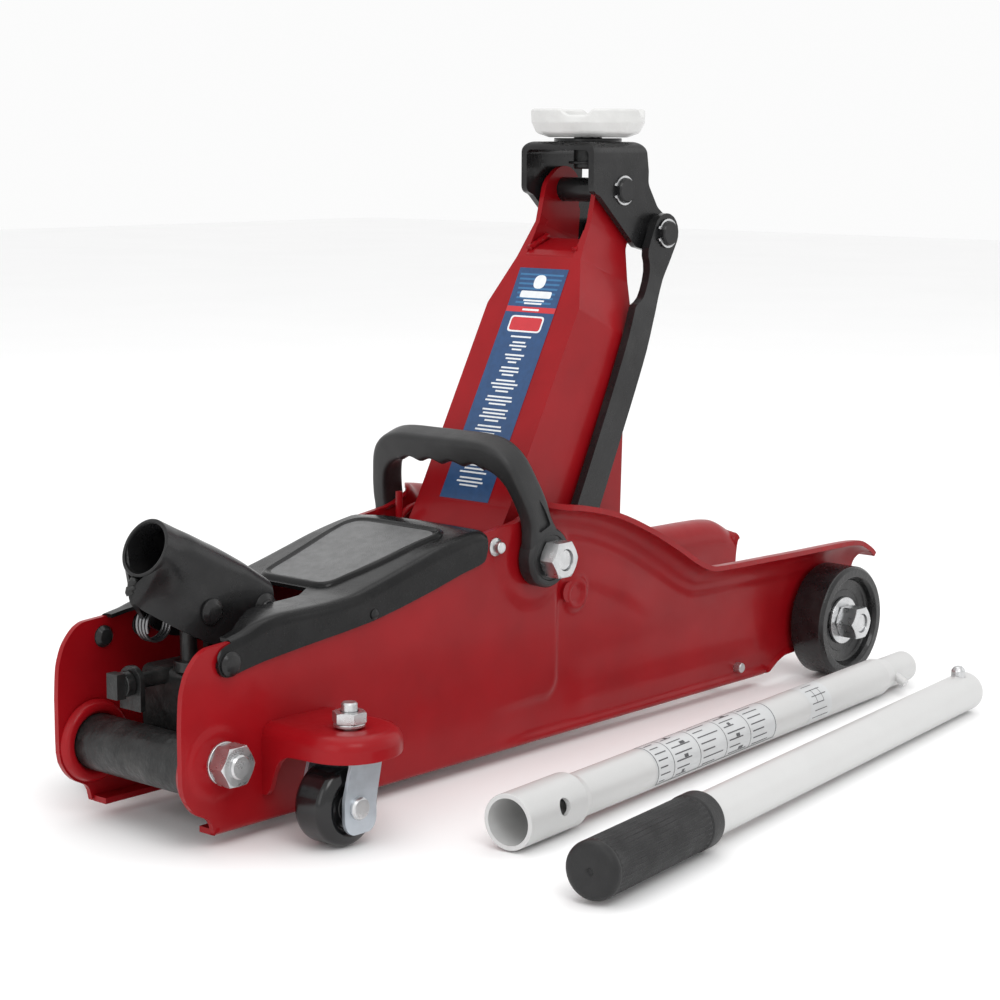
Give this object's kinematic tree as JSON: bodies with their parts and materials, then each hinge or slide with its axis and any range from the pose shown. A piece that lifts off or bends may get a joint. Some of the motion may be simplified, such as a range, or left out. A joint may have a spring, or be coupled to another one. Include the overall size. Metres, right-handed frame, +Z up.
{
  "type": "trolley jack",
  "caption": "Low hydraulic trolley jack with a raised lift arm, saddle, casters, carry handle and a two-piece pump handle lying beside it.",
  "frame": {"origin": "middle of the overall box on the floor", "axes": "+X along the chassis from the pump end towards the large front wheels, +Z up, -Y the side with the loose handle"},
  "size_m": [0.5834, 0.3534, 0.3532],
  "materials": {
    "red_paint": "gloss enamel",
    "black_paint": "semi-gloss enamel",
    "white_paint": "gloss powder coat",
    "white_cast": "painted casting",
    "zinc": "bright zinc plate",
    "chrome": "ground and plated",
    "black_plastic": "fine moulded texture",
    "rubber": "ribbed rubber"
  },
  "bodies": {
    "chassis": {"side_plate_near": "red_paint", "side_plate_far": "red_paint", "rear_axle_tube": "black_paint", "rear_axle_bolt": "zinc", "rear_axle_nuts": "zinc", "top_cover": "black_paint", "cover_rivets": "black_paint", "cover_side_screws": "zinc", "cover_front_screws": "zinc", "main_pivot_shaft": "zinc", "main_pivot_nuts": "zinc", "link_pivot_pins": "black_paint", "front_axle": "zinc", "front_axle_washers": "zinc", "front_axle_nuts": "zinc", "front_tie_rod": "black_paint", "pump_block": "black_paint", "plunger_gland": "black_paint", "ram_cylinder": "black_paint", "oil_filler_plug": "black_plastic", "socket_fulcrum_pin": "zinc", "release_valve_bracket": "black_paint", "caster_bracket_near": "red_paint", "caster_bracket_far": "red_paint", "caster_stem_bolts": "zinc", "caster_stem_nuts": "zinc", "far_plate_bolt": "zinc"},
    "lift_arm": {"lift_arm": "red_paint", "arm_pivot_tube": "red_paint", "ram_pin": "chrome", "arm_return_springs": "red_paint"},
    "saddle_head": {"head_bracket": "black_paint", "head_pin": "zinc", "link_top_pin": "zinc", "circlips": "zinc", "saddle_washer": "black_paint"},
    "saddle": {"saddle": "white_cast", "saddle_stem_clip": "zinc"},
    "lift_links": {"lift_link_near": "black_paint", "lift_link_far": "black_paint"},
    "ram": {"ram_rod": "chrome", "ram_pusher": "black_paint"},
    "handle_socket": {"handle_socket": "black_paint", "plunger_pin": "zinc", "socket_return_spring": "zinc"},
    "pump_plunger": {"pump_plunger": "chrome"},
    "release_valve": {"release_valve": "black_paint"},
    "front_wheel_near": {"front_wheel_near": "black_plastic"},
    "front_wheel_far": {"front_wheel_far": "black_plastic"},
    "caster_near": {"caster_fork_near": "zinc", "caster_axle_near": "zinc"},
    "caster_far": {"caster_fork_far": "zinc", "caster_axle_far": "zinc"},
    "caster_wheel_near": {"caster_wheel_near": "black_plastic"},
    "caster_wheel_far": {"caster_wheel_far": "black_plastic"},
    "carry_handle": {"carry_handle": "black_plastic"},
    "handle_lower": {"handle_lower_tube": "white_paint"},
    "handle_upper": {"handle_upper_tube": "white_paint", "handle_grip": "rubber"},
    "spring_button": {"spring_button": "zinc"}
  },
  "joints": [
    {"name": "lift", "type": "hinge", "parent": "chassis", "child": "lift_arm", "pos_m": [-0.03469, 0.0685, 0.112], "axis": [0, 1, 0], "range_deg": [0, 81]},
    {"name": "head_level", "type": "hinge", "parent": "lift_arm", "child": "saddle_head", "pos_m": [0.06681, 0.0685, 0.3072], "axis": [0, 1, 0], "range_deg": [-81.5, 0.5]},
    {"name": "link_swing", "type": "hinge", "parent": "chassis", "child": "lift_links", "pos_m": [-0.00369, 0.0685, 0.0871], "axis": [0, 1, 0], "range_deg": [-0.5, 81.5]},
    {"name": "ram_slide", "type": "slide", "parent": "chassis", "child": "ram", "axis": [1, 0, 0], "range_m": [-0.0756, 0.0002]},
    {"name": "saddle_turn", "type": "hinge", "parent": "saddle_head", "child": "saddle", "pos_m": [0.06681, 0.0685, 0.33], "axis": [0, 0, 1], "continuous": true},
    {"name": "pump_handle", "type": "hinge", "parent": "chassis", "child": "handle_socket", "pos_m": [-0.20719, 0.0685, 0.105], "axis": [0, 1, 0], "range_deg": [-8, 40], "deforming": ["socket_return_spring"]},
    {"name": "plunger_slide", "type": "slide", "parent": "chassis", "child": "pump_plunger", "axis": [0, 0, 1], "range_m": [-0.0045, 0.022]},
    {"name": "release_turn", "type": "hinge", "parent": "chassis", "child": "release_valve", "pos_m": [-0.26919, 0.0805, 0.0725], "axis": [1, 0, 0], "range_deg": [0, 360]},
    {"name": "front_wheel_spin_near", "type": "hinge", "parent": "chassis", "child": "front_wheel_near", "pos_m": [0.24721, 0.0085, 0.035], "axis": [0, 1, 0], "continuous": true},
    {"name": "front_wheel_spin_far", "type": "hinge", "parent": "chassis", "child": "front_wheel_far", "pos_m": [0.24721, 0.1285, 0.035], "axis": [0, 1, 0], "continuous": true},
    {"name": "caster_swivel_near", "type": "hinge", "parent": "chassis", "child": "caster_near", "pos_m": [-0.21289, -0.0137, 0.05], "axis": [0, 0, 1], "continuous": true},
    {"name": "caster_swivel_far", "type": "hinge", "parent": "chassis", "child": "caster_far", "pos_m": [-0.21289, 0.1507, 0.05], "axis": [0, 0, 1], "continuous": true},
    {"name": "caster_wheel_spin_near", "type": "hinge", "parent": "caster_near", "child": "caster_wheel_near", "pos_m": [-0.22209, -0.0137, 0.0203], "axis": [0, 1, 0], "continuous": true},
    {"name": "caster_wheel_spin_far", "type": "hinge", "parent": "caster_far", "child": "caster_wheel_far", "pos_m": [-0.22209, 0.1507, 0.0203], "axis": [0, 1, 0], "continuous": true},
    {"name": "carry_swing", "type": "hinge", "parent": "chassis", "child": "carry_handle", "pos_m": [-0.03469, 0.0685, 0.112], "axis": [0, -1, 0], "range_deg": [-4, 30]},
    {"name": "handle_lower_lift", "type": "slide", "parent": "chassis", "child": "handle_lower", "axis": [0, 0, 1], "range_m": [0, 0.3]},
    {"name": "handle_upper_lift", "type": "slide", "parent": "chassis", "child": "handle_upper", "axis": [0, 0, 1], "range_m": [0, 0.3]},
    {"name": "button_press", "type": "slide", "parent": "handle_upper", "child": "spring_button", "axis": [0, 0, -1], "range_m": [0, 0.004], "stiffness_N_per_m": 500}
  ],
  "couplings": [
    {"joint": "head_level", "follows": "lift", "ratio": -1},
    {"joint": "link_swing", "follows": "lift", "ratio": 1},
    {"joint": "ram_slide", "follows": "lift", "m_per_rad": -0.0533},
    {"joint": "plunger_slide", "follows": "pump_handle", "m_per_rad": 0.0313}
  ]
}
